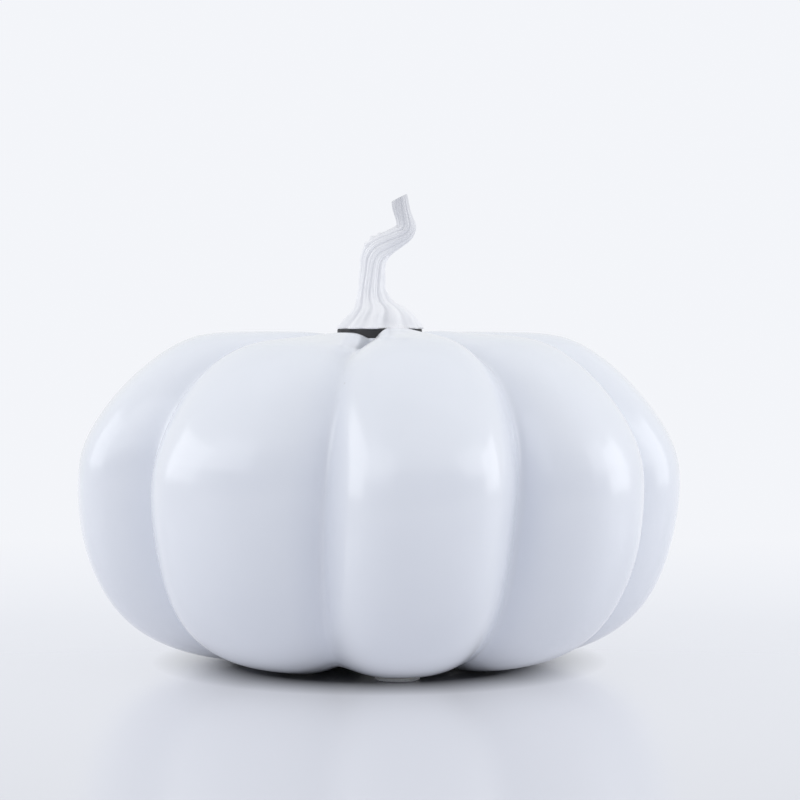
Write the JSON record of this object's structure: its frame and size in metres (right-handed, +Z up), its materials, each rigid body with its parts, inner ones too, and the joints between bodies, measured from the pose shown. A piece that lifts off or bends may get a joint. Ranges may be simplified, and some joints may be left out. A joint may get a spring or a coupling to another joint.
{
  "type": "ceramic pumpkin figure",
  "caption": "White glazed ceramic pumpkin with rounded lobes and a curved, ridged stem that lifts out of a rubber grommet in the crown.",
  "frame": {"origin": "on the table, under the centre of the body and of its crown opening", "axes": "+Z up along the body's axis; -Y is the front, the side that faces a viewer; the stem bends towards +X"},
  "size_m": [0.198, 0.2013, 0.1551],
  "materials": {
    "white_glaze": "gloss glaze",
    "stem_paint": "satin paint over ridged casting",
    "pin_steel": "turned",
    "black_rubber": "matt",
    "white_felt": "felt",
    "adhesive": "acrylic film"
  },
  "bodies": {
    "pumpkin": {"body_shell": "white_glaze", "felt_pad_front": "white_felt", "felt_pad_right": "white_felt", "felt_pad_left": "white_felt", "pad_adhesive_front": "adhesive", "pad_adhesive_right": "adhesive", "pad_adhesive_left": "adhesive"},
    "grommet": {"stem_grommet": "black_rubber"},
    "stem": {"stem": "stem_paint", "stem_pin": "pin_steel"}
  },
  "joints": [
    {"name": "stem_lift", "type": "slide", "parent": "pumpkin", "child": "grommet", "axis": [0, 0, 1], "range_m": [0, 0.036]},
    {"name": "stem_turn", "type": "hinge", "parent": "grommet", "child": "stem", "pos_m": [0, 0, 0.1104], "axis": [0, 0, 1], "continuous": true}
  ]
}
